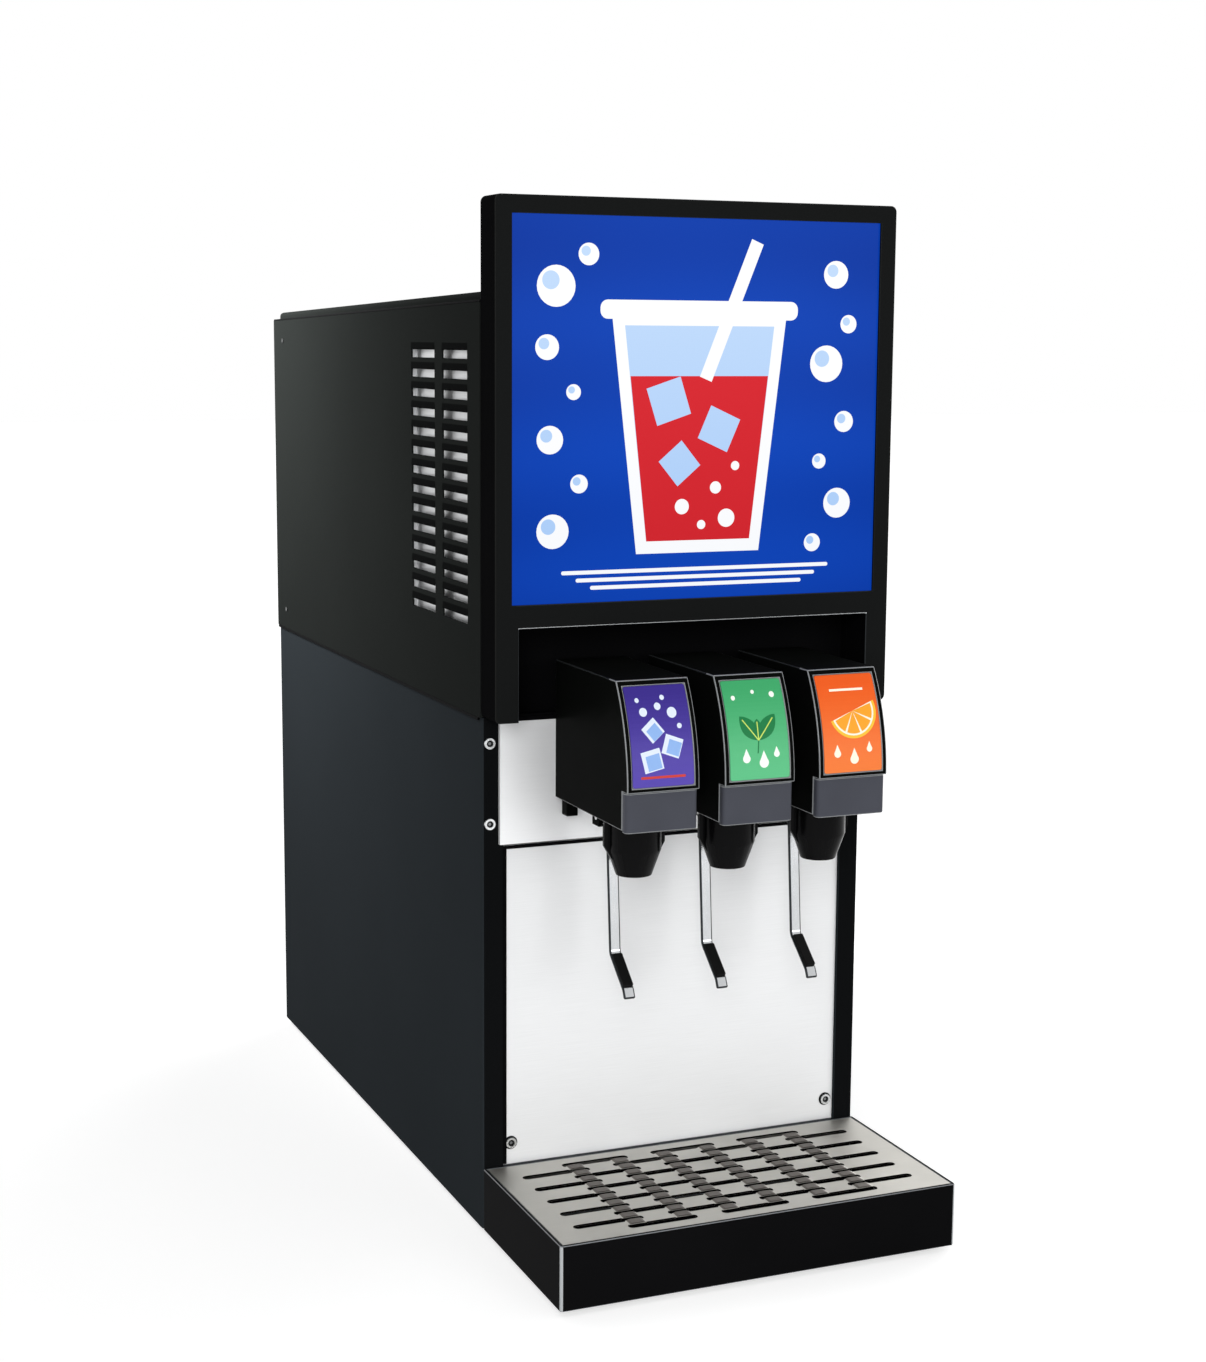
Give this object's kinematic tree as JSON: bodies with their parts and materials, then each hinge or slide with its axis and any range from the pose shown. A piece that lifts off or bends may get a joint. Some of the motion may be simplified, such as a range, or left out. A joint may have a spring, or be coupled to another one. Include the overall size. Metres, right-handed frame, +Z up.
{
  "type": "soda fountain machine",
  "caption": "Narrow countertop soda fountain: louvred black cabinet, backlit sign box, lever valves over a stainless splash and a removable drip tray.",
  "frame": {"origin": "centre of the footprint, on the counter under the rubber feet", "axes": "+Z up, -Y to the front where the valves and drip tray are, +X to the right of someone who faces the front"},
  "size_m": [0.2852, 0.675, 0.6834],
  "materials": {
    "side_steel": "satin powder coat",
    "hood_steel": "satin powder coat",
    "chassis_steel": "matt grey paint",
    "stainless": "brushed",
    "grate_steel": "brushed",
    "screw_steel": "bright zinc",
    "lever_chrome": "polished",
    "screen_aluminium": "mill finish",
    "sign_acrylic": "backlit acrylic",
    "lamp_board": "white solder mask",
    "valve_abs": "satin moulded",
    "block_abs": "satin moulded",
    "nozzle_plastic": "gloss moulded",
    "diffuser_plastic": "natural",
    "card_purple": "printed card",
    "card_green": "printed card",
    "card_orange": "printed card",
    "rubber_black": "matt",
    "tray_abs": "satin moulded",
    "bath_foam": "foamed plastic",
    "copper": "bare tube",
    "vessel_steel": "plain",
    "motor_paint": "gloss enamel",
    "fin_aluminium": "mill finish",
    "fan_plastic": "moulded",
    "coil_wrap": "varnished winding",
    "switch_phenolic": "moulded",
    "rocker_red": "moulded"
  },
  "bodies": {
    "cabinet": {"base_pan": "chassis_steel", "left_side_panel": "side_steel", "right_side_panel": "side_steel", "rear_panel": "hood_steel", "deck_plate": "chassis_steel", "hood_left_panel": "hood_steel", "hood_right_panel": "hood_steel", "hood_rear_panel": "hood_steel", "hood_lid": "hood_steel", "rubber_feet": "rubber_black", "valve_plate": "stainless", "splash_panel": "stainless", "recess_liner": "hood_steel", "panel_screws": "screw_steel", "vent_screens": "screen_aluminium", "sign_frame": "hood_steel", "sign_face": "sign_acrylic", "led_panel": "lamp_board", "sign_back": "hood_steel", "front_blocks": "block_abs", "mount_blocks": "valve_abs", "lever_pins": "screw_steel", "microswitches": "switch_phenolic", "solenoid_coils": "coil_wrap", "nozzle_diffusers": "diffuser_plastic", "water_bath": "bath_foam", "evaporator_coil": "copper", "carbonator": "vessel_steel", "agitator_motor": "motor_paint", "compressor": "motor_paint", "condenser": "fin_aluminium", "fan_motor": "motor_paint", "water_pump": "motor_paint", "control_box": "chassis_steel", "inlet_fittings": "vessel_steel", "cord_gland": "valve_abs", "switch_housing": "valve_abs", "valve_base_1": "valve_abs", "valve_cover_1": "valve_abs", "flavour_card_1": "card_purple", "valve_base_2": "valve_abs", "valve_cover_2": "valve_abs", "flavour_card_2": "card_green", "valve_base_3": "valve_abs", "valve_cover_3": "valve_abs", "flavour_card_3": "card_orange"},
    "lever_1": {"lever_1": "lever_chrome", "lever_pad_1": "rubber_black"},
    "lever_2": {"lever_2": "lever_chrome", "lever_pad_2": "rubber_black"},
    "lever_3": {"lever_3": "lever_chrome", "lever_pad_3": "rubber_black"},
    "nozzle_1": {"nozzle_1": "nozzle_plastic"},
    "nozzle_2": {"nozzle_2": "nozzle_plastic"},
    "nozzle_3": {"nozzle_3": "nozzle_plastic"},
    "tray": {"drip_tray": "tray_abs"},
    "grate": {"cup_grate": "grate_steel"},
    "fan": {"fan_blade": "fan_plastic"},
    "agitator": {"agitator": "vessel_steel"},
    "rocker": {"rocker_key": "rocker_red"}
  },
  "joints": [
    {"name": "lever_1_push", "type": "hinge", "parent": "cabinet", "child": "lever_1", "pos_m": [-0.066, -0.2375, 0.29], "axis": [1, 0, 0], "range_deg": [0, 12], "stiffness_Nm_per_rad": 0.35, "springref_deg": -20.05},
    {"name": "lever_2_push", "type": "hinge", "parent": "cabinet", "child": "lever_2", "pos_m": [0, -0.2375, 0.29], "axis": [1, 0, 0], "range_deg": [0, 12], "stiffness_Nm_per_rad": 0.35, "springref_deg": -20.05},
    {"name": "lever_3_push", "type": "hinge", "parent": "cabinet", "child": "lever_3", "pos_m": [0.066, -0.2375, 0.29], "axis": [1, 0, 0], "range_deg": [0, 12], "stiffness_Nm_per_rad": 0.35, "springref_deg": -20.05},
    {"name": "nozzle_1_pull", "type": "slide", "parent": "cabinet", "child": "nozzle_1", "axis": [0, 0, -1], "range_m": [0, 0.045]},
    {"name": "nozzle_2_pull", "type": "slide", "parent": "cabinet", "child": "nozzle_2", "axis": [0, 0, -1], "range_m": [0, 0.045]},
    {"name": "nozzle_3_pull", "type": "slide", "parent": "cabinet", "child": "nozzle_3", "axis": [0, 0, -1], "range_m": [0, 0.045]},
    {"name": "tray_pull", "type": "slide", "parent": "cabinet", "child": "tray", "axis": [0, -1, 0], "range_m": [0, 0.16]},
    {"name": "grate_lift", "type": "slide", "parent": "tray", "child": "grate", "axis": [0, 0, 1], "range_m": [0, 0.06]},
    {"name": "fan_spin", "type": "hinge", "parent": "cabinet", "child": "fan", "pos_m": [-0.0768, -0.1165, 0.4682], "axis": [1, 0, 0], "continuous": true},
    {"name": "agitator_spin", "type": "hinge", "parent": "cabinet", "child": "agitator", "pos_m": [0.045, -0.0202, 0.244], "axis": [0, 0, 1], "continuous": true},
    {"name": "switch_rock", "type": "hinge", "parent": "cabinet", "child": "rocker", "pos_m": [-0.1, 0.3115, 0.144], "axis": [1, 0, 0], "range_deg": [-20, 0]}
  ]
}
